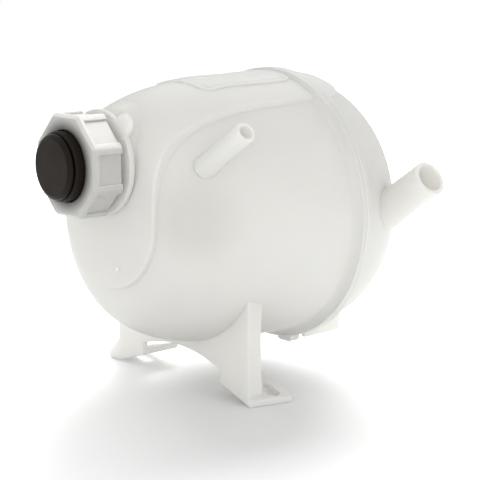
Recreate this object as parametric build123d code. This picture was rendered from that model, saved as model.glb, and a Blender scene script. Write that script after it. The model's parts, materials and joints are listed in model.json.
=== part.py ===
from build123d import *
import os
from math import cos, sin, radians, pi

# Coolant expansion tank: two welded half shells with a screw pressure cap.
# Everything is laid out on the tank axis, which is Y, with the weld plane at zero and the
# neck toward minus Y. The finished pieces are then moved so that the origin is the
# middle of the two foot slots, on the underside of the pads.

os.makedirs("parts", exist_ok=True)

# Shells
wall = 3.0
drum_r = 75.7
flange_r = drum_r + 4.3
flange_t = 3.4
flange_lip = 0.8
blend_len = 9.0
blend_mid_r = 0.9
blend_mid_y = 2.6
nub_x = 15.0
nub_w = 12.0
nub_h = 6.0
nub_reach = 1.2
nub_round = 2.2
front_depth = 118.4
rear_r = drum_r + 0.3
rear_depth = 54.8
rear_power = 2.6
rear_steps = 12

# Drum profile: share of the drum radius against share of the front depth
drum_shape = [
    (1.0, 0.0), (0.991, 0.17), (0.980, 0.34), (0.964, 0.495), (0.938, 0.614),
    (0.900, 0.725), (0.869, 0.784), (0.823, 0.844), (0.749, 0.912),
    (0.685, 0.946), (0.600, 0.972), (0.468, 0.989), (0.275, 0.998), (0.0, 1.0),
]

# Raised band over the top and down the front
band_r = drum_r + 2.1
band_depth = front_depth + 2.0
band_half = 41.0
band_low = 41.2 - drum_r
band_shape = [
    (1.0, 0.0), (0.990, 0.25), (0.978, 0.50), (0.952, 0.62), (0.916, 0.73),
    (0.886, 0.79), (0.850, 0.848), (0.803, 0.90), (0.745, 0.942),
    (0.667, 0.974), (0.555, 0.990), (0.300, 0.999), (0.0, 1.0),
]
band_blend = 1.1
crease_reach = 18.4 - front_depth
cut_height = 120.0
cut_low = 20.0

# Label pad, left bare
pad_half = 24.0
pad_front = 48.4 - front_depth
pad_back = -6.0
pad_rise = 0.9
pad_corner = 6.0

# Neck
neck_z = drum_r - 40.7
bore_r = 17.5
bore_chamfer = 0.6
neck_wall = 3.1
neck_r = bore_r + neck_wall
neck_chamfer = 0.8
root_r1 = neck_r + 5.0
root_r0 = root_r1 + 3.0
root_flare = 3.0
root_bend = 1.5
collar_r = root_r1 + 2.9
collar_t = 3.0
collar_y = -band_depth - 0.6
neck_end = collar_y - 17.2
root_mid = collar_y + 7.0
root_start = root_mid + 10.0
bore_start = root_start + 4.0
lug_angle = 45.0
lug_reach = collar_r + 8.5
lug_w = 11.0

# Spigots
small_r = 5.5
small_bore = 3.6
small_y = 24.4 - front_depth
small_angle = 33.5
small_end = drum_r + 27.3
large_r = 10.0
large_bore = 7.5
large_y = rear_depth - 29.8
large_angle = 34.0
large_end_x = drum_r + 26.4
large_end_z = 23.8
spigot_round = 0.5
small_depth = 40.0
large_depth = 42.0
small_root = 16.2
large_root = 18.0
root_swell = 0.12

# Legs and pads
leg_front = 48.0 - front_depth
leg_back = leg_front + 26.2
leg_t = 3.5
leg_out = drum_r - 15.8
leg_in = leg_out - 23.9
leg_side = 11.1
leg_waist = 9.4
leg_top_in = 30.7 - drum_r
leg_top_out = 42.7 - drum_r
pad_out_front = leg_out + 2.1
pad_out_back = pad_out_front + 7.0
floor_z = -drum_r - 22.3
foot_rise = 8.8
foot_t = 3.6
foot_corner = 1.8
toe_high = 14.2
toe_reach = 11.7
toe_tip = 2.5
toe_round = 1.2
toe_base = 8.1
slot_x = leg_out - 3.4
slot_back = 4.7
slot_w = 7.0
slot_len = 15.0
arch_mid = 0.3 - drum_r
arch_side = arch_mid - 7.1
web_top = 25.7 - drum_r

# Raised band behind the flange, and ribs
rear_band_r = band_r - 0.4
rear_band_drop = 1.2
rear_band_half = 42.0
rear_band_taper = 5.0
rear_band_end = rear_depth - 34.8
rear_band_corner = 12.0
rib_x = 28.0
rib_t = 2.5
rib_end = rear_depth - 26.3
rib_low = -drum_r - 1.3
rib_top = 35.7 - drum_r

# Cap nut
nut_wall = 2.4
nut_skirt = 10.4
body_flange_r = neck_r + 1.4
nut_in = body_flange_r + 0.7
nut_corner = nut_in + 6.7
hole_gap = 0.5
groove_deep = 1.0
ring_grip = 0.8
ring_lap = 1.2
ring_low = 0.2
flat_front = 3.4
nut_round = 2.6
nut_chamfer = 1.6
flat_inset = 1.3
lug_half = 3.2
flats = 8

# Dark insert
hub_r = body_flange_r - 3.3
hub_len = 5.0
hub_rim = 1.8
hub_rim_high = 0.6
hub_round = 0.8
cover_r = hub_r - 1.2
cover_len = 3.4
cover_gap = 0.9
cover_round = 2.4
cover_face = 0.9
plug_r = 5.6
plug_gap = 0.4
plug_deep = 1.6

# Valve body
slip_t = 0.6
body_flange_t = 2.4
stem_r = bore_r - 0.9
stem_wall = 3.7
stem_step = 1.3
stem_len = 21.0
hub_wall = 3.4
vent_x = 9.0
vent_r = 1.2
vents = 4
gasket_in = 0.15
gasket_out = 1.6
gasket_t = 2.0
ring_t = 1.0
oring_r = 1.5
oring_back = 8.0
seal_gap = 0.3
groove_room = 0.25

# Valves inside the body
seat_t = 3.0
seat_deep = 1.2
stem_bore = stem_r - stem_wall
step_bore = stem_bore - stem_step
seat_r = stem_bore - 3.7
seat_half = 0.8
seat_high = 0.4
cup_fit = 0.2
port_r = seat_r - 2.0
seal_in = port_r - 0.8
seal_t = 2.2
plate_t = 2.4
plate_r = stem_bore - 0.7
plate_lip = 0.9
pocket_deep = 1.2
pocket_out = 1.2
pocket_in = 2.4
poppet_r = port_r - 1.8
guide_r = poppet_r - 3.0
poppet_t = 1.6
poppet_stem = 1.5
poppet_len = 9.6
poppet_edge = 0.5
vac_seal_t = 1.2
vac_seal_in = 0.2
clip_t = 0.9
clip_r = 3.7
clip_gap = 4.6
spring_r = stem_bore - 3.3
spring_wire = 0.75
spring_turns = 4.5
vac_spring_r = 2.75
vac_wire = 0.28
vac_turns = 5
wire_sides = 8
coil_gap = 0.05
retainer_t = 2.2
retainer_back = 1.6
retainer_fit = 0.05
retainer_hole = 3.0
retainer_vent_x = 7.0
retainer_vent_r = 1.8
retainer_vents = 6

# Derived levels along the neck axis
flange_low = neck_end - gasket_t
flange_top = flange_low - body_flange_t
nut_face = flange_top - slip_t - nut_wall
nut_rear = neck_end + nut_skirt
nut_hole = hub_r + hole_gap
ring_end = flange_low + ring_low + ring_t
hub_end = nut_face - hub_len
cover_front = hub_end - cover_len
stem_end = neck_end + stem_len
oring_y = neck_end + oring_back
retainer_y = neck_end + retainer_back
seat_top = stem_end - seat_deep
plate_low = seat_top - seal_t
plate_top = plate_low - plate_t
vac_low = plate_low + vac_seal_t
clip_low = plate_top - clip_gap
slot_y = (leg_front + leg_back) / 2 + slot_back
on_neck = Pos(0, 0, neck_z)


def turned(points):
    """Body turned about Y from a closed run of (radius, y) points."""
    return revolve(make_face(Polyline(*points, close=True)), Axis.Y)


def domed(shape, radius, depth, inset):
    """Solid turned about Y from a smooth profile, drawn in by the inset."""
    points = [((radius - inset) * r, -(depth - inset) * y) for r, y in shape]
    curve = Spline(*points, tangents=[(0, -1), (-1, 0)])
    rim = Line((0, 0), points[0])
    axis_line = Line(points[-1], (0, 0))
    return revolve(make_face(curve + rim + axis_line), Axis.Y)


def u_prism(half, low, depth):
    """Prism along Y with straight sides, open upward, and a round lower end."""
    middle = low + half
    sides = Pos(0, middle + cut_height / 2) * Rectangle(2 * half, cut_height)
    outline = Pos(0, middle) * Circle(half) + sides
    return extrude(Plane.XZ * outline, depth)


def band(inset):
    """Raised band: the fuller profile kept inside the U shaped prism."""
    full = domed(band_shape, band_r, band_depth, inset)
    return full & u_prism(band_half - inset, band_low + inset, band_depth + wall)


def tube(radius, start, end):
    """Cylinder along Y between two levels."""
    return Pos(0, (start + end) / 2, 0) * Rot(90, 0, 0) * Cylinder(radius, abs(end - start))


def ring(outer, inner, start, end):
    """Flat ring along Y between two levels."""
    low, high = min(start, end), max(start, end)
    return tube(outer, low, high) - tube(inner, low - wall, high + wall)


def spigot_frame(x, y, z, angle):
    """Frame at a spigot's open end whose Z runs outward along the spigot."""
    return Plane(origin=(x, y, z), x_dir=(0, 1, 0), z_dir=(cos(radians(angle)), 0, sin(radians(angle))))


def spigot(frame, radius, length, root_len):
    """Outside of a plain spigot with a rounded end and a slightly wider root."""
    body = Pos(0, 0, -length / 2) * Cylinder(radius, length)
    body = fillet(body.edges().group_by(Axis.Z)[-1], spigot_round)
    root = Cone(radius + root_len * root_swell / 2, radius, root_len)
    return frame * (body + Pos(0, 0, -length + root_len / 2) * root)


def bore(frame, radius, length):
    """Hole down a spigot, a little longer than the spigot at both ends."""
    return frame * Pos(0, 0, -length / 2) * Cylinder(radius, length + 2 * wall)


small_frame = spigot_frame(
    small_end * cos(radians(small_angle)), small_y, small_end * sin(radians(small_angle)), small_angle
)
large_frame = spigot_frame(large_end_x, large_y, large_end_z, large_angle)


def foot_line(x, y):
    """Height of the pad's underside at a place beside the middle and along the tank."""
    share = (y - leg_front) / (leg_back - leg_front)
    outer = pad_out_front + share * (pad_out_back - pad_out_front)
    return floor_z + foot_rise * (outer - x) / (outer - leg_in)


def pad_section(y, outer):
    """Sloping cross section of a pad at one place along the tank."""
    low, high = foot_line(leg_in, y), floor_z
    face = make_face(Polyline(
        (leg_in, low), (outer, high), (outer, high + foot_t), (leg_in, low + foot_t), close=True,
    ))
    return Plane(origin=(0, y, 0), x_dir=(1, 0, 0), z_dir=(0, -1, 0)) * face


def foot_plate():
    """Inclined pad with a slanting outer edge and a slot cut straight up."""
    ends = [pad_section(leg_front, pad_out_front), pad_section(leg_back, pad_out_back)]
    plate = loft(ends, ruled=True)
    upright = plate.edges().filter_by(Axis.Z).group_by(Axis.X)[-1]
    plate = fillet(upright, foot_corner)
    cut = extrude(Pos(slot_x, slot_y) * SlotOverall(slot_len, slot_w), cut_height)
    return plate - Pos(0, 0, floor_z - foot_t) * cut


def toe_plate():
    """Part of the front plate that runs out to the floor beside one pad."""
    outline = Polyline(
        (leg_in, foot_line(leg_in, leg_front)), (leg_in, floor_z + foot_rise + foot_t),
        (leg_out, floor_z + toe_high), (leg_out + toe_reach, floor_z + toe_tip),
        (leg_out + toe_reach - toe_round, floor_z + toe_tip / 3), (leg_out + toe_base, floor_z),
        (pad_out_front, floor_z), close=True,
    )
    return Pos(0, leg_front + leg_t, 0) * extrude(Plane.XZ * make_face(outline), leg_t)


def leg():
    """One leg: front plate, outer side plate and pad, reaching up into the drum."""
    low = foot_line(leg_out, leg_front)
    front = Polyline(
        (leg_in, foot_line(leg_in, leg_front)), (leg_out, low), (leg_out, leg_top_out),
        (leg_in, leg_top_in), close=True,
    )
    front_plate = Pos(0, leg_front + leg_t, 0) * extrude(Plane.XZ * make_face(front), leg_t)
    return front_plate + leg_side_plate(low + foot_t / 2) + foot_plate()


def leg_side_plate(low):
    """Outer side plate of a leg, a little narrower at half height."""
    back, waist = leg_front + leg_side, leg_front + leg_waist
    edge = ThreePointArc((back, low), (waist, (low + leg_top_out) / 2), (back, leg_top_out))
    rest = Polyline((back, leg_top_out), (leg_front, leg_top_out), (leg_front, low), (back, low))
    return Pos(leg_out - leg_t, 0, 0) * extrude(Plane.YZ * make_face(edge + rest), leg_t)


def web():
    """Arched web between the legs."""
    reach = leg_in + leg_t / 2
    arch = ThreePointArc((-reach, arch_side), (0, arch_mid), (reach, arch_side))
    frame = Polyline((reach, arch_side), (reach, web_top), (-reach, web_top), (-reach, arch_side))
    return Pos(0, leg_front + leg_t, 0) * extrude(Plane.XZ * make_face(arch + frame), leg_t)


def label_pad():
    """Slightly raised bare pad on top of the band."""
    outer = domed(band_shape, band_r + pad_rise, band_depth, 0)
    outline = RectangleRounded(2 * pad_half, pad_back - pad_front, pad_corner)
    block = Pos(0, (pad_front + pad_back) / 2, cut_low) * extrude(outline, cut_height)
    return outer & block


def collar():
    """Ring at the neck's foot with one rounded lug."""
    disc = tube(collar_r, collar_y, collar_y - collar_t)
    arm = Pos(lug_reach / 2 - lug_w / 4, 0) * Rectangle(lug_reach - lug_w / 2, lug_w)
    tip = Pos(lug_reach - lug_w / 2, 0) * Circle(lug_w / 2)
    lug = Pos(0, collar_y, 0) * extrude(Plane.XZ * (Rot(0, 0, lug_angle) * (arm + tip)), collar_t)
    return disc + lug


def neck_outside():
    """Neck with its tapered root and collar."""
    root = turned([
        (0, root_start), (root_r0 + root_flare, root_start), (root_r0, root_mid),
        (root_r1, collar_y + root_bend), (root_r1, collar_y), (0, collar_y),
    ])
    mouth = turned([
        (0, root_mid), (neck_r, root_mid), (neck_r, neck_end + neck_chamfer),
        (neck_r - neck_chamfer, neck_end), (0, neck_end),
    ])
    return on_neck * (root + mouth + collar())


def neck_inside():
    """Neck bore, opening out under the root."""
    return on_neck * turned([
        (0, bore_start), (root_r0, bore_start), (root_r0 - wall, root_mid), (bore_r, collar_y),
        (bore_r, neck_end + bore_chamfer), (bore_r + bore_chamfer, neck_end),
        (bore_r + bore_chamfer, neck_end - wall), (0, neck_end - wall),
    ])


def drum_and_band():
    """Drum with the raised band, its crease rounded on both sides."""
    body = domed(drum_shape, drum_r, front_depth, 0) + band(0)
    crease = [e for e in body.edges() if e.bounding_box().min.Y < crease_reach]
    return fillet(crease, band_blend)


def flange_blend():
    """Hollow curve from the front flange down to the drum."""
    start = (flange_r - flange_lip, -flange_t)
    middle = (drum_r + blend_mid_r, -flange_t - blend_mid_y)
    end = (drum_r - flange_lip, -flange_t - blend_len)
    back = Polyline(end, (drum_r - wall, end[1]), (drum_r - wall, start[1]), start)
    return revolve(make_face(ThreePointArc(start, middle, end) + back), Axis.Y)


def nub(side):
    """Half of the small tab below the flange."""
    block = Box(nub_w, flange_t, nub_h)
    block = fillet(block.edges().filter_by(Axis.Y).group_by(Axis.Z)[0], nub_round)
    return Pos(nub_x, side * flange_t / 2, -flange_r - nub_reach + nub_h / 2) * block


def make_front_shell():
    """Long half shell with neck, band, pad, return spigot and legs."""
    body = drum_and_band() + tube(flange_r, 0, -flange_t) + nub(-1)
    body = body + flange_blend() + neck_outside() + label_pad()
    legs = leg() + mirror(leg() + toe_plate(), Plane.YZ) + web()
    body = body + legs + spigot(small_frame, small_r, small_depth, small_root)
    hollow = domed(drum_shape, drum_r, front_depth, wall) + band(wall)
    return body - hollow - neck_inside() - bore(small_frame, small_bore, small_depth + small_r)


def rear_band(inset):
    """Raised band behind the flange, narrowing to a rounded end."""
    end = rear_band_end - inset
    near = rear_band_half - inset
    far = near - rear_band_taper
    top, low = rear_band_r - inset, rear_band_r - rear_band_drop - inset
    full = turned([(0, 0), (top, 0), (low, end), (0, end)])
    plan = make_face(Polyline((-near, 0), (near, 0), (far, end), (-far, end), close=True))
    plan = fillet(plan.vertices().group_by(Axis.Y)[-1], rear_band_corner)
    return full & (Pos(0, 0, cut_low) * extrude(plan, cut_height))


def rear_dome(inset):
    """Short dome, a rounded full profile turned about Y."""
    share = [sin(pi / 2 * i / rear_steps) for i in range(rear_steps + 1)]
    shape = [((1 - s ** rear_power) ** (1 / rear_power), s) for s in share]
    solid = domed(shape, rear_r, rear_depth, inset)
    return mirror(solid, Plane.XZ)


def locating_rib(x):
    """Thin plate below the dome that steadies the tank."""
    return Pos(x, rib_end / 2, (rib_low + rib_top) / 2) * Box(rib_t, rib_end, rib_top - rib_low)


def make_rear_shell():
    """Short half shell with hose spigot, raised band and ribs."""
    body = rear_dome(0) + tube(flange_r, 0, flange_t) + rear_band(0) + nub(1)
    for side in (-1, 1):
        body = body + locating_rib(side * rib_x)
    body = body + spigot(large_frame, large_r, large_depth, large_root)
    hollow = rear_dome(wall) + rear_band(wall)
    return body - hollow - bore(large_frame, large_bore, large_depth + large_r)


def nut_outline(corner):
    """Eight-sided outline with rounded corners and a flat facing each side."""
    return fillet(RegularPolygon(corner, flats, rotation=180 / flats).vertices(), nut_round)


def make_cap_nut():
    """White eight-sided nut, open at the back, with a hole for the insert."""
    depth = nut_rear - nut_face
    outer = Pos(0, nut_rear, 0) * extrude(Plane.XZ * nut_outline(nut_corner), depth)
    front_edges = outer.faces().sort_by(Axis.Y)[0].edges()
    outer = chamfer(front_edges, nut_chamfer)
    flat_r = nut_corner * cos(pi / flats)
    flat_len = 2 * nut_corner * sin(pi / flats)
    pocket = Pos(flat_r, nut_rear, 0) * Box(2 * flat_inset, 2 * (depth - flat_front), flat_len - 2 * lug_half)
    for i in range(flats):
        outer = outer - Rot(0, 360 / flats * i, 0) * pocket
    room = tube(nut_in, nut_rear + wall, nut_face + nut_wall)
    groove = ring(nut_in + groove_deep, stem_r, ring_end + ring_low / 2, flange_low + ring_low / 2)
    nut = outer - room - tube(nut_hole, nut_face - wall, neck_end) - groove
    return on_neck * nut


def make_slip_ring():
    """Thin ring between the nut's front wall and the valve body's flange."""
    return on_neck * ring(body_flange_r, nut_hole + hole_gap, flange_top, nut_face + nut_wall)


def make_retaining_ring():
    """Snap ring in the nut's groove, under the valve body's flange."""
    return on_neck * ring(nut_in + ring_grip, body_flange_r - ring_lap, ring_end, flange_low + ring_low)


def make_rim_gasket():
    """Flat seal between the flange and the neck's rim."""
    return on_neck * ring(body_flange_r - gasket_out, stem_r + gasket_in, neck_end, flange_low)


def make_valve_body():
    """Dark hub, flange and stem with the seal groove, turned in one piece."""
    groove_low = oring_y + oring_r + groove_room
    groove_top = oring_y - oring_r - groove_room
    groove_r = bore_r - seal_gap - 2 * oring_r
    inner_top = hub_end + hub_wall
    step_y = retainer_y - retainer_t
    body = turned([
        (0, hub_end + plug_deep), (plug_r + plug_gap, hub_end + plug_deep),
        (plug_r + plug_gap, hub_end + hub_rim_high), (hub_r - hub_rim, hub_end + hub_rim_high),
        (hub_r - hub_rim, hub_end), (hub_r - hub_round, hub_end), (hub_r, hub_end + hub_round),
        (hub_r, flange_top), (body_flange_r, flange_top), (body_flange_r, flange_low),
        (stem_r, flange_low), (stem_r, groove_top), (groove_r, groove_top), (groove_r, groove_low),
        (stem_r, groove_low), (stem_r, stem_end), (stem_bore, stem_end), (stem_bore, step_y),
        (step_bore, step_y), (step_bore, inner_top), (0, inner_top),
    ])
    vent = Pos(vent_x, (hub_end + inner_top) / 2, 0) * Rot(90, 0, 0) * Cylinder(vent_r, 2 * hub_wall)
    for i in range(vents):
        body = body - Rot(0, 360 / vents * (i + 0.5), 0) * vent
    return on_neck * body


def make_cap_cover():
    """Front disc of the insert, standing off the hub so that vapour can leave under its rim."""
    back = hub_end - cover_gap
    cover = turned([
        (0, cover_front), (cover_r - cover_round, cover_front),
        (cover_r - cover_round / 4, cover_front + cover_face), (cover_r, back - cover_face / 2),
        (cover_r - cover_face / 2, back), (plug_r, back), (plug_r, hub_end + plug_deep),
        (0, hub_end + plug_deep),
    ])
    return on_neck * cover


def make_neck_oring():
    """Round seal ring in the stem's groove."""
    centre = bore_r - seal_gap - oring_r
    return on_neck * Pos(0, oring_y, 0) * Rot(90, 0, 0) * Torus(centre, oring_r)


def make_seat_cup():
    """End cup with the valve seat and the port to the tank."""
    low = stem_end + seat_t
    floor = seat_top + seat_high
    rim = stem_bore - cup_fit
    cup = turned([
        (port_r, low), (stem_r - hub_round, low), (stem_r, low - hub_round), (stem_r, stem_end),
        (rim, stem_end), (rim, floor), (seat_r + seat_half + seat_high, floor),
        (seat_r + seat_half, seat_top), (seat_r - seat_half, seat_top),
        (seat_r - seat_half - seat_high, floor), (port_r, floor),
    ])
    return on_neck * cup


def make_pressure_plate():
    """Plate that the main spring holds down, with a guide hole for the poppet."""
    pocket_wall, pocket_hub = spring_r - pocket_out, spring_r - pocket_in
    plate = turned([
        (guide_r, plate_low), (plate_r - plate_lip, plate_low), (plate_r, plate_low + plate_lip),
        (plate_r, plate_top), (pocket_wall, plate_top), (pocket_wall, plate_top - pocket_deep),
        (pocket_hub, plate_top - pocket_deep), (pocket_hub, plate_top), (guide_r, plate_top),
    ])
    return on_neck * plate


def make_pressure_seal():
    """Rubber ring between the plate and the seat."""
    return on_neck * ring(plate_r - plate_lip, seal_in, seat_top, plate_low)


def coil(radius, wire, start, end, turns):
    """Wire spring along Y with its ends inside the two levels."""
    length = abs(end - start) - 2 * (wire + coil_gap)
    path = Helix(length / turns, length, radius)
    section = Plane(path @ 0, z_dir=path % 0) * RegularPolygon(wire, wire_sides)
    body = sweep(section, path=path, is_frenet=True)
    return Pos(0, max(start, end) - wire - coil_gap, 0) * Rot(90, 0, 0) * body


def make_pressure_spring():
    """Main spring between the plate and the retainer."""
    return on_neck * coil(spring_r, spring_wire, plate_top, retainer_y, spring_turns)


def make_spring_retainer():
    """Pierced disc held against the step in the stem."""
    disc = ring(stem_bore - retainer_fit, retainer_hole, retainer_y - retainer_t, retainer_y)
    hole = Pos(retainer_vent_x, retainer_y, 0) * Rot(90, 0, 0) * Cylinder(retainer_vent_r, 3 * retainer_t)
    for i in range(retainer_vents):
        disc = disc - Rot(0, 360 / retainer_vents * i, 0) * hole
    return on_neck * disc


def make_vacuum_poppet():
    """Disc and stem that open toward the tank."""
    low, tip = vac_low + poppet_t, vac_low - poppet_len
    poppet = turned([
        (0, low), (poppet_r - poppet_edge, low), (poppet_r, low - poppet_edge),
        (poppet_r, vac_low), (poppet_stem, vac_low), (poppet_stem, tip + poppet_edge),
        (poppet_stem - poppet_edge, tip), (0, tip),
    ])
    return on_neck * poppet


def make_vacuum_seal():
    """Rubber ring round the poppet's stem."""
    return on_neck * ring(poppet_r - vac_seal_in, guide_r + poppet_edge, plate_low, vac_low)


def make_vacuum_clip():
    """Push-on washer that holds the small spring."""
    return on_neck * ring(clip_r, poppet_stem, clip_low - clip_t, clip_low)


def make_vacuum_spring():
    """Small spring between the plate and the washer."""
    return on_neck * coil(vac_spring_r, vac_wire, plate_top, clip_low, vac_turns)


makers = {
    "front_shell": make_front_shell,
    "rear_shell": make_rear_shell,
    "cap_nut": make_cap_nut,
    "cap_cover": make_cap_cover,
    "valve_body": make_valve_body,
    "slip_ring": make_slip_ring,
    "retaining_ring": make_retaining_ring,
    "rim_gasket": make_rim_gasket,
    "neck_oring": make_neck_oring,
    "seat_cup": make_seat_cup,
    "pressure_plate": make_pressure_plate,
    "pressure_seal": make_pressure_seal,
    "pressure_spring": make_pressure_spring,
    "spring_retainer": make_spring_retainer,
    "vacuum_poppet": make_vacuum_poppet,
    "vacuum_seal": make_vacuum_seal,
    "vacuum_spring": make_vacuum_spring,
    "vacuum_clip": make_vacuum_clip,
}

shift = Pos(0, -slot_y, -foot_line(slot_x, slot_y))

for name, maker in makers.items():
    export_step(shift * maker(), f"parts/{name}.step")
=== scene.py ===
"""Looks of the coolant expansion tank: materials, moulded details, studio and camera."""
import json
import math

import bpy
import numpy as np
from mathutils import Matrix, Vector


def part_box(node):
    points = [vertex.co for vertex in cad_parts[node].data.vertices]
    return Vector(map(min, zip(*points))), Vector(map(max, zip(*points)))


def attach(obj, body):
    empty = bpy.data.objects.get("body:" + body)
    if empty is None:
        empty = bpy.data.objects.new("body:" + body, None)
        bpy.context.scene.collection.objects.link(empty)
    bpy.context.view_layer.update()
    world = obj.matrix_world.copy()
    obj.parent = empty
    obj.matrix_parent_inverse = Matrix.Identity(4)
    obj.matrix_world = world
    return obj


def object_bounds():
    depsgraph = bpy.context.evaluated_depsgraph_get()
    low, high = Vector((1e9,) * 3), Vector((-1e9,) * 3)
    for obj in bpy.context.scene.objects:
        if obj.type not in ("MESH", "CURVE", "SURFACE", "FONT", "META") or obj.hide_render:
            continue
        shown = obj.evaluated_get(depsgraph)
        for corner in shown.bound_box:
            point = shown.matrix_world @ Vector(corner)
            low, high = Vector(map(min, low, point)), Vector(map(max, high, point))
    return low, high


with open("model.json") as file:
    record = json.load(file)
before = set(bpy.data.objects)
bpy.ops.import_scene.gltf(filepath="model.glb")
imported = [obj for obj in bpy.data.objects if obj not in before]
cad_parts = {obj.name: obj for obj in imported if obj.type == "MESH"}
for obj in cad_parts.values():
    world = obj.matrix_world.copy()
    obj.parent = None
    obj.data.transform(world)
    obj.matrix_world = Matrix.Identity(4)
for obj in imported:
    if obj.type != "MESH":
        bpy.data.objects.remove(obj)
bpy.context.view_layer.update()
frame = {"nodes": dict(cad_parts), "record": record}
nodes = frame["nodes"]
MM = 0.001

# Sizes of the solids that the moulded details follow
NECK_RISE = 35 * MM
NECK_REACH = 138.2 * MM
NECK_RADIUS = 20.6 * MM
NUT_BORE = 22.7 * MM
PITCH = 4 * MM
FLANGE_RADIUS = 80 * MM

# Row frame places, in metres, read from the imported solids
neck_low, neck_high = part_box("neck_oring")
NECK_Z = (neck_low.z + neck_high.z) / 2
AXIS_Z = NECK_Z - NECK_RISE
FLANGE_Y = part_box("rear_shell")[0].y
NECK_END = FLANGE_Y - NECK_REACH
FLOOR_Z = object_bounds()[0].z

# Camera, fitted to the photographed tank
AZIMUTH, ELEVATION = math.radians(49.6994), math.radians(11.1537)
EYE = (0.61444, FLANGE_Y - 0.54622, AXIS_Z + 0.13906)


def camera():
    """Level camera with a 105 mm lens, a little more than 11 degrees above the tank."""
    right = Vector((math.cos(AZIMUTH), math.sin(AZIMUTH), 0))
    back = Vector((
        math.sin(AZIMUTH) * math.cos(ELEVATION),
        -math.cos(AZIMUTH) * math.cos(ELEVATION),
        math.sin(ELEVATION),
    ))
    data = bpy.data.cameras.new("camera")
    data.lens, data.sensor_width = 105.0, 36.0
    data.clip_start, data.clip_end = 0.05, 30
    eye = bpy.data.objects.new("camera", data)
    place = Matrix((right, back.cross(right), back)).transposed().to_4x4()
    place.translation = EYE
    eye.matrix_world = place
    bpy.context.scene.collection.objects.link(eye)
    bpy.context.scene.camera = eye


# Shader building

def new_material(name):
    """New material with its node tree and Principled shader."""
    material = bpy.data.materials.new(name)
    material.use_nodes = True
    return material, material.node_tree, find(material.node_tree, "BSDF_PRINCIPLED")


def find(nt, kind):
    """First node of a kind in a tree."""
    return next(n for n in nt.nodes if n.type == kind)


def wire(nt, source, target):
    """Link one socket to another."""
    nt.links.new(source, target)


def node(nt, kind, inputs, **settings):
    """Outputs of a new node. Its settings come first, then each input is fed by a socket or set to a
    plain value."""
    made = nt.nodes.new("ShaderNode" + kind)
    for name, value in settings.items():
        setattr(made, name, value)
    for name, given in inputs.items():
        if isinstance(given, bpy.types.NodeSocket):
            wire(nt, given, made.inputs[name])
        else:
            made.inputs[name].default_value = given
    return made.outputs


def object_place(nt):
    """Object coordinates, which are the row frame's."""
    return node(nt, "TexCoord", {})["Object"]


def noise(nt, vector, scale, detail, rough):
    """Noise on the given coordinates."""
    inputs = {"Vector": vector, "Scale": scale, "Detail": detail, "Roughness": rough}
    return node(nt, "TexNoise", inputs)["Fac"]


def remap(nt, value, span, to, ease="LINEAR"):
    """Value between the two ends of a span, spread over two others and held past them."""
    inputs = {
        "Value": value, "From Min": span[0], "From Max": span[1], "To Min": to[0], "To Max": to[1],
    }
    return node(nt, "MapRange", inputs, interpolation_type=ease)["Result"]


def product(nt, first, second):
    """Product of two values."""
    return node(nt, "Math", {0: first, 1: second}, operation="MULTIPLY")[0]


def scaled_sum(nt, value, factor, rest):
    """Value times a factor, plus the rest."""
    return node(nt, "Math", {0: value, 1: factor, 2: rest}, operation="MULTIPLY_ADD")[0]


def colour_mix(nt, share, none, full):
    """Colour between two others."""
    return node(nt, "Mix", {"Factor": share, "A": none, "B": full}, data_type="RGBA")["Result"]


def moulded_skin():
    """Shared skin of moulded plastic: cloudy colour, uneven gloss, orange peel, faint handling
    scratches and softened edges."""
    group = bpy.data.node_groups.new("moulded_skin", "ShaderNodeTree")
    for name, kind, value in (
        ("Light Tone", "NodeSocketColor", (0.8, 0.8, 0.78, 1)),
        ("Dark Tone", "NodeSocketColor", (0.74, 0.74, 0.72, 1)),
        ("Gloss Low", "NodeSocketFloat", 0.3),
        ("Gloss High", "NodeSocketFloat", 0.42),
        ("Peel", "NodeSocketFloat", 0.1),
        ("Scuffs", "NodeSocketFloat", 0.3),
        ("Edge Radius", "NodeSocketFloat", 0.8 * MM),
    ):
        socket = group.interface.new_socket(name=name, in_out="INPUT", socket_type=kind)
        socket.default_value = value
    for name, kind in (
        ("Color", "NodeSocketColor"),
        ("Roughness", "NodeSocketFloat"),
        ("Normal", "NodeSocketVector"),
    ):
        group.interface.new_socket(name=name, in_out="OUTPUT", socket_type=kind)
    given = group.nodes.new("NodeGroupInput").outputs
    result = group.nodes.new("NodeGroupOutput").inputs
    place = object_place(group)

    cloud = remap(group, noise(group, place, 28, 3, 0.55), (0.32, 0.68), (0, 1))
    tone = colour_mix(group, cloud, given["Dark Tone"], given["Light Tone"])
    wire(group, tone, result["Color"])

    lengthwise = {"Vector": place, "Rotation": (0.4, 0.25, 0.7), "Scale": (60, 1400, 260)}
    streaks = noise(group, node(group, "Mapping", lengthwise)["Vector"], 1.0, 2, 0.4)
    scratches = remap(group, streaks, (0.66, 0.74), (0, 1))
    patches = remap(group, noise(group, place, 45, 3, 0.6), (0.5, 0.72), (0, 1))
    scuffs = product(group, product(group, scratches, patches), given["Scuffs"])

    unevenness = remap(group, noise(group, place, 75, 4, 0.6), (0.3, 0.7), (0, 1))
    levels = {"Factor": unevenness, "A": given["Gloss Low"], "B": given["Gloss High"]}
    gloss = node(group, "Mix", levels)["Result"]
    wire(group, scaled_sum(group, scuffs, 0.25, gloss), result["Roughness"])

    peel = noise(group, place, 520, 2, 0.45)
    soft_edge = node(group, "Bevel", {"Radius": given["Edge Radius"]}, samples=6)["Normal"]
    relief = {
        "Height": scaled_sum(group, scuffs, -0.6, peel), "Strength": given["Peel"],
        "Distance": 0.2 * MM, "Normal": soft_edge,
    }
    wire(group, node(group, "Bump", relief)["Normal"], result["Normal"])
    return group


SKIN = moulded_skin()


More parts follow.
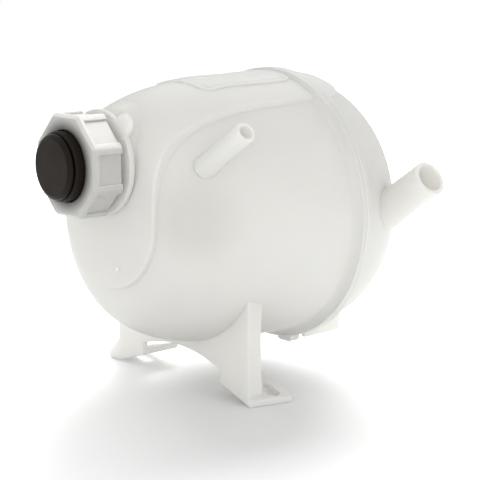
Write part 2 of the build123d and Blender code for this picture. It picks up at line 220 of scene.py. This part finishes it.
def moulded(name, light, dark, gloss, peel, scuffs, edge=0.8 * MM, **sockets):
    """Moulded plastic: the shared skin with this plastic's tones, gloss and edge radius, and plain
    values on the shader's other sockets."""
    material, nt, shader = new_material(name)
    skin = node(nt, "Group", {
        "Light Tone": (*light, 1), "Dark Tone": (*dark, 1), "Gloss Low": gloss[0],
        "Gloss High": gloss[1], "Peel": peel, "Scuffs": scuffs, "Edge Radius": edge,
    }, node_tree=SKIN)
    wire(nt, skin["Color"], shader.inputs["Base Color"])
    wire(nt, skin["Roughness"], shader.inputs["Roughness"])
    wire(nt, skin["Normal"], shader.inputs["Normal"])
    for socket, value in sockets.items():
        shader.inputs[socket.replace("_", " ")].default_value = value
    return material


def drawn_steel():
    """Bright spring wire with fine draw lines and dull flecks."""
    material, nt, shader = new_material("drawn_steel")
    place = object_place(nt)
    drawn = node(nt, "Mapping", {"Vector": place, "Scale": (300, 4000, 300)})["Vector"]
    lines = noise(nt, drawn, 1.0, 3, 0.6)
    flecks = remap(nt, noise(nt, place, 900, 4, 0.6), (0.35, 0.6), (0, 1))
    tone = colour_mix(nt, flecks, (0.36, 0.36, 0.37, 1), (0.6, 0.61, 0.62, 1))
    wire(nt, tone, shader.inputs["Base Color"])
    wire(nt, remap(nt, lines, (0.3, 0.7), (0.18, 0.36)), shader.inputs["Roughness"])
    relief = {"Height": lines, "Strength": 0.15, "Distance": 0.05 * MM}
    wire(nt, node(nt, "Bump", relief)["Normal"], shader.inputs["Normal"])
    shader.inputs["Metallic"].default_value = 1.0
    return material


TANK = moulded(
    "milky_polypropylene", (0.90, 0.895, 0.865), (0.88, 0.875, 0.845), (0.3, 0.4), 0.12, 0.25,
    Subsurface_Weight=1.0, Subsurface_Radius=(1.0, 0.98, 0.92), Subsurface_Scale=2 * MM, IOR=1.49,
    Specular_IOR_Level=0.35,
)
TRIM = moulded(
    "thin_polypropylene", (0.865, 0.86, 0.83), (0.845, 0.84, 0.81), (0.3, 0.4), 0.12, 0.25, edge=0.0,
    IOR=1.49, Specular_IOR_Level=0.35,
)
NUT = moulded(
    "white_nylon", (0.56, 0.555, 0.535), (0.525, 0.52, 0.50), (0.26, 0.36), 0.1, 0.3,
    Subsurface_Weight=0.8, Subsurface_Radius=(1.0, 1.0, 0.95), Subsurface_Scale=2 * MM, IOR=1.5,
    Specular_IOR_Level=0.35,
)
INSERT = moulded(
    "dark_brown_plastic", (0.018, 0.0125, 0.0085), (0.011, 0.008, 0.006), (0.34, 0.46), 0.3, 0.6,
    IOR=1.5, Specular_IOR_Level=0.12,
)
PALE = moulded(
    "pale_acetal", (0.62, 0.62, 0.6), (0.56, 0.56, 0.54), (0.3, 0.42), 0.15, 0.3,
    Subsurface_Weight=0.3, Subsurface_Radius=(1.0, 1.0, 0.95), Subsurface_Scale=1 * MM,
)
RUBBER = moulded(
    "black_rubber", (0.032, 0.032, 0.031), (0.02, 0.02, 0.02), (0.6, 0.78), 0.5, 0.5, IOR=1.52,
)
STEEL = drawn_steel()


def tint(material, share, colour):
    """Brings a plastic's colour to another one where the share of its own falls."""
    nt = material.node_tree
    own = find(nt, "GROUP").outputs["Color"]
    tone = colour_mix(nt, share, (*colour, 1), own)
    wire(nt, tone, find(nt, "BSDF_PRINCIPLED").inputs["Base Color"])


def painted_shade_patch(material, centre, core, edge, darkest):
    """Soft grey patch of painted shade on a milky wall, by distance from a place in the row frame.
    """
    nt = material.node_tree
    apart = {0: object_place(nt), 1: centre}
    reach = node(nt, "VectorMath", apart, operation="DISTANCE")["Value"]
    tint(material, remap(nt, reach, (core, edge), (darkest, 1), "SMOOTHSTEP"), (0.3, 0.3, 0.28))


def shade_and_show_through(material, inner, outer, darkest):
    """Painted shade and show-through: darkens a thin white wall towards the neck's axis, for the
    shade round the dark insert and for the dark flange behind the wall, by distance from the neck's
    axis."""
    nt = material.node_tree
    flatten = {0: object_place(nt), 1: (1, 0, 1), 2: (0, 0, -NECK_Z)}
    off_axis = node(nt, "VectorMath", flatten, operation="MULTIPLY_ADD")["Vector"]
    reach = node(nt, "VectorMath", {0: off_axis}, operation="LENGTH")["Value"]
    tint(material, remap(nt, reach, (inner, outer), (darkest, 1)), (0.02, 0.016, 0.012))


def let_light_through(material, share, colour):
    """Milky plastic: a share of the light passes through the wall and lights it from behind."""
    nt = material.node_tree
    solid = find(nt, "BSDF_PRINCIPLED").outputs["BSDF"]
    through = node(nt, "BsdfTranslucent", {"Color": (*colour, 1)})["BSDF"]
    both = node(nt, "MixShader", {"Fac": share, 1: solid, 2: through})["Shader"]
    wire(nt, both, find(nt, "OUTPUT_MATERIAL").inputs["Surface"])


# Painted shade: a soft grey patch on the front of the drum, darkest at its middle.
painted_shade_patch(TANK, (57.5 * MM, FLANGE_Y - 104.5 * MM, AXIS_Z + 10 * MM), 2 * MM, 34 * MM, 0.80)
let_light_through(TANK, 0.28, (0.98, 0.975, 0.96))
# Painted shade: the nut's front face darkens towards the insert, partly for the flange behind it.
shade_and_show_through(NUT, 18.5 * MM, 25.5 * MM, 0.05)

FINISH = {
    "tank_plastic": TANK, "nut_plastic": NUT, "insert_plastic": INSERT,
    "ring_plastic": PALE, "seal_rubber": RUBBER, "spring_steel": STEEL,
}
for entry in frame["record"]["subparts"]:
    solid = nodes[entry["node"]]
    solid.data.materials.clear()
    solid.data.materials.append(FINISH[entry["material_slot"]])


# Surface building

def surface(name, points, body, material, close_rows=False, close_columns=False, caps=False):
    """Mesh from a grid of points: each face joins a point to its next neighbours both ways.
    A closed direction joins its last line to its first, and caps fill the two open ends."""
    rows, columns = points.shape[:2]
    r = np.arange(rows if close_rows else rows - 1)
    c = np.arange(columns if close_columns else columns - 1)
    r, c = np.meshgrid(r, c, indexing="ij")
    r1, c1 = (r + 1) % rows, (c + 1) % columns
    faces = np.stack([r * columns + c, r * columns + c1, r1 * columns + c1, r1 * columns + c], -1)
    faces = faces.reshape(-1, 4).tolist()
    if caps:
        faces.append(list(range(columns))[::-1])
        faces.append(list(range((rows - 1) * columns, rows * columns)))
    mesh = bpy.data.meshes.new(name)
    mesh.from_pydata(points.reshape(-1, 3), [], faces)
    mesh.shade_smooth()
    piece = bpy.data.objects.new(name, mesh)
    bpy.context.scene.collection.objects.link(piece)
    mesh.materials.append(material)
    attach(piece, body)
    return piece


THREAD_BASE, THREAD_TIP, THREAD_SINK = 2.2 * MM, 0.9 * MM, 0.25 * MM
THREAD_STEPS = 72
THREAD_FADES = 6


def thread(name, root, crest, start, turns, body, material):
    """Screw ridge: a trapezium carried along a helix about the neck. Angle runs with the path,
    height along the axis falls by one pitch a turn, and the crest sinks to the root over the first
    and last sixth of a turn."""
    u = np.linspace(0, 1, int(THREAD_STEPS * turns) + 1)[:, None]
    angle = 2 * np.pi * turns * u
    fade = np.clip(np.minimum(u, 1 - u) * turns * THREAD_FADES, 0, 1)
    fade = fade * fade * (3 - 2 * fade)
    lift = np.array([[0, 1, 1, 0]])
    side = np.array([[-THREAD_BASE, -THREAD_TIP, THREAD_TIP, THREAD_BASE]]) / 2
    if crest < root:
        side = side[:, ::-1]
    sink = math.copysign(THREAD_SINK, crest - root)
    radius = (root - sink) + lift * ((crest - root) * fade + sink)
    x, z = radius * np.cos(angle), radius * np.sin(angle) + NECK_Z
    y = start - PITCH * turns * u + side + 0 * radius
    points = np.stack([x, y, z], -1)
    surface(name, points, body, material, close_columns=True, caps=True)


THREAD_HEIGHT = 1.5 * MM
thread(
    "neck_thread", NECK_RADIUS, NECK_RADIUS + THREAD_HEIGHT, NECK_END + 11.2 * MM, 2.3,
    "tank", TANK,
)
thread(
    "nut_thread", NUT_BORE, NUT_BORE - THREAD_HEIGHT, NECK_END + 9.2 * MM, 1.8,
    "nut", NUT,
)

shell = nodes["front_shell"]
OUTSIDE = 0.3


@np.vectorize
def shell_top(x, y):
    """Height of the front shell's top surface at a place."""
    hit, spot, _, _ = shell.ray_cast(Vector((x, y, OUTSIDE)), Vector((0, 0, -1)))
    return spot.z if hit else 0.0


# Across the bar in shares of its width, and up in shares of its height
BAR_PROFILE = np.array([
    (-0.5, -0.3), (-0.42, 0.55), (-0.28, 0.95), (0.28, 0.95), (0.42, 0.55), (0.5, -0.3),
])
BAR_STEPS = 12


def raised_bar(name, start, end, width, height):
    """Low rounded bar moulded on the label pad, between two places seen from above, in millimetres
    from the flange: the profile carried along a line, each point set on the shell below it."""
    start, end = np.array(start) * MM, np.array(end) * MM
    along = (end - start) / np.linalg.norm(end - start)
    across = np.array([-along[1], along[0]])
    side, rise = BAR_PROFILE.T
    middle = start + (end - start) * np.linspace(0, 1, BAR_STEPS)[:, None]
    flat = middle[:, None] + across * (side * width)[:, None]
    x, y = flat[..., 0], flat[..., 1] + FLANGE_Y
    points = np.stack([x, y, shell_top(x, y) + rise * height], -1)[:, ::-1]
    surface(name, points, "tank", TRIM, close_columns=True, caps=True)


LEFT, RIGHT, FRONT, BACK = -21.0, 21.0, -66.5, -9.5
for name, start, end in (
    ("front", (LEFT, FRONT), (RIGHT, FRONT)),
    ("back", (LEFT, BACK), (RIGHT, BACK)),
    ("left", (LEFT, FRONT), (LEFT, BACK)),
    ("right", (RIGHT, FRONT), (RIGHT, BACK)),
):
    raised_bar(f"pad_rim_{name}", start, end, 1.0 * MM, 0.16 * MM)
for number, (level, low, high) in enumerate((
    (-58, -12, 12), (-52, -12, 6), (-24, -12, 14), (-18, -12, 2),
)):
    raised_bar(f"pad_bar_{number + 1}", (low, level), (high, level), 2.2 * MM, 0.14 * MM)

# Out from the middle in shares of the radius, and up in shares of the height
GATE_PROFILE = np.array([
    (0.02, 0.35), (0.45, 0.35), (0.6, 1.0), (0.85, 1.0), (1.0, 0.5), (1.03, -0.6),
])


def gate_mark(name, x, z, radius, height):
    """Small round gate mark on the front of the band: a low ring with a shallow middle. Rows go out
    from the middle, columns go round it."""
    _, spot, _, _ = shell.ray_cast(Vector((x, FLANGE_Y - OUTSIDE, z)), Vector((0, 1, 0)))
    reach, rise = GATE_PROFILE.T[:, :, None]
    turn = np.linspace(0, 2 * np.pi, 32, endpoint=False)
    points = np.stack([
        x + radius * reach * np.cos(turn),
        spot.y - height * rise + 0 * turn,
        z + radius * reach * np.sin(turn),
    ], -1)[:, ::-1]
    surface(name, points, "tank", TRIM, close_columns=True, caps=True)


gate_mark("gate_mark", 9.7 * MM, AXIS_Z - 22.1 * MM, 1.7 * MM, 0.22 * MM)


def weld_bead(name, radius, width, sink, dip):
    """Weld between the two flanges: a low crown carried round the tank's axis, its feet sunk into
    them. Rows go round by angle, columns go along the axis. The bead dips within ten degrees of the
    tank's widest place on the left."""
    turn = np.linspace(0, 2 * np.pi, 288, endpoint=False)[:, None]
    along = np.array([[-0.5, -0.4, -0.18, 0.18, 0.4, 0.5]]) * width
    crown = np.array([[1.0, 0.3, 0.05, 0.05, 0.3, 1.0]]) * sink
    low = np.clip(2 - np.abs(turn - np.pi) / math.radians(5), 0, 1)
    reach = radius - dip * low - crown
    x, z = reach * np.cos(turn), reach * np.sin(turn) + AXIS_Z
    points = np.stack([x, FLANGE_Y + along + 0 * turn, z], -1)
    surface(name, points, "tank", TRIM, close_rows=True, close_columns=True)


weld_bead("weld_bead", FLANGE_RADIUS + 0.1 * MM, 1.6 * MM, 0.6 * MM, 0.15 * MM)


# Studio

def white_world(dim, lit):
    """White surroundings: one strength for what lights the tank, another for what is seen."""
    world = bpy.data.worlds.new("studio")
    bpy.context.scene.world = world
    world.use_nodes = True
    nt = world.node_tree
    background = nt.nodes["Background"]
    background.inputs["Color"].default_value = (1, 1, 1, 1)
    path = node(nt, "LightPath", {})
    rays = {0: path["Is Camera Ray"], 1: path["Is Transmission Ray"]}
    seen = node(nt, "Math", rays, operation="MAXIMUM")[0]
    wire(nt, remap(nt, seen, (0, 1), (dim, lit)), background.inputs["Strength"])


FLOOR_SIDE = 4.0
# Painted shadow: an ellipse in front of the feet where the camera-only emission fades, leaving the
# floor dark.
PAINTED_SHADOW_CENTRE = (0.079, -0.031, FLOOR_Z)
PAINTED_SHADOW_SCALE = (0.11, 0.17, 1)
PAINTED_SHADOW_TURN = math.radians(49.7)


def pale_floor():
    """Floor that keeps the tank's shadow, deepened by painted shadow. Emission that only the camera
    sees brings it to white, but fades to none in an ellipse in front of the feet: a painted shadow
    pool."""
    side = np.linspace(-FLOOR_SIDE, FLOOR_SIDE, 3)
    x, y = np.meshgrid(side, side, indexing="ij")
    points = np.stack([x, y, np.full_like(x, FLOOR_Z)], -1)
    quads = [[k, k + 3, k + 4, k + 1] for k in (0, 1, 3, 4)]
    mesh = bpy.data.meshes.new("floor")
    mesh.from_pydata(points.reshape(-1, 3), [], quads)
    floor = bpy.data.objects.new("floor", mesh)
    bpy.context.scene.collection.objects.link(floor)

    material, nt, shader = new_material("studio_floor")
    shader.inputs["Base Color"].default_value = (0.88, 0.88, 0.88, 1)
    shader.inputs["Roughness"].default_value = 0.9
    shader.inputs["Specular IOR Level"].default_value = 0.0
    shader.inputs["Emission Color"].default_value = (1, 1, 1, 1)
    # Painted shadow: distance within the ellipse sets how far the camera-only emission lifts the
    # floor to white.
    oval = node(nt, "Mapping", {
        "Vector": object_place(nt), "Location": PAINTED_SHADOW_CENTRE, "Rotation": (0, 0, PAINTED_SHADOW_TURN),
        "Scale": PAINTED_SHADOW_SCALE,
    }, vector_type="TEXTURE")["Vector"]
    reach = node(nt, "VectorMath", {0: oval}, operation="LENGTH")["Value"]
    glow_with_painted_shadow = remap(nt, reach, (0.2, 2.3), (0.0, 0.70))
    camera_ray = node(nt, "LightPath", {})["Is Camera Ray"]
    wire(nt, product(nt, camera_ray, glow_with_painted_shadow), shader.inputs["Emission Strength"])
    mesh.materials.append(material)
    return floor


def softbox(name, centre, toward, distance, size, energy):
    """Round area lamp that looks at the centre from a direction."""
    lamp = bpy.data.lights.new(name, "AREA")
    lamp.shape = "DISK"
    lamp.size, lamp.energy = size, energy
    box = bpy.data.objects.new(name, lamp)
    toward = Vector(toward).normalized()
    box.location = Vector(centre) + toward * distance
    box.rotation_euler = toward.to_track_quat("Z", "Y").to_euler()
    bpy.context.scene.collection.objects.link(box)
    return box


def light_only(lamp, name, receivers):
    """Lets a lamp light the given objects only."""
    chosen = bpy.data.collections.new(name)
    for piece in receivers:
        chosen.objects.link(piece)
    lamp.light_linking.receiver_collection = chosen


TANK_CENTRE = (0.0, 0.01, 0.09)
NUT_CENTRE = (0.0, FLANGE_Y - 0.135, NECK_Z)


def studio():
    """White room with a broad lamp behind and above, one that draws the shadow on the floor, a fill
    from the front for the pale plastic, and a small lamp over the nut."""
    white_world(0.80, 1.0)
    floor = pale_floor()
    pale = [
        piece for piece in bpy.context.scene.objects
        if piece.type == "MESH" and piece.data.materials
        and piece.data.materials[0] in (TANK, TRIM, NUT)
    ]
    softbox(
        "back_softbox", TANK_CENTRE, (-0.5, 0.5, 0.72), distance=0.95, size=0.8, energy=1.6,
    )
    shade = softbox(
        "shadow_softbox", TANK_CENTRE, (-0.715, 0.935, 0.92), distance=0.95, size=0.75, energy=12.0,
    )
    light_only(shade, "lit_floor", [floor])
    fill = softbox(
        "front_fill", TANK_CENTRE, (0.75, -0.63, 0.1), distance=1.3, size=0.9, energy=4.3,
    )
    light_only(fill, "lit_tank", pale)
    top = softbox(
        "nut_softbox", NUT_CENTRE, (0.1, 0.2, 1), distance=0.5, size=0.3, energy=2.2,
    )
    light_only(top, "lit_nut", [nodes["cap_nut"]])


camera()
studio()
bpy.context.scene.view_settings.view_transform = "Standard"
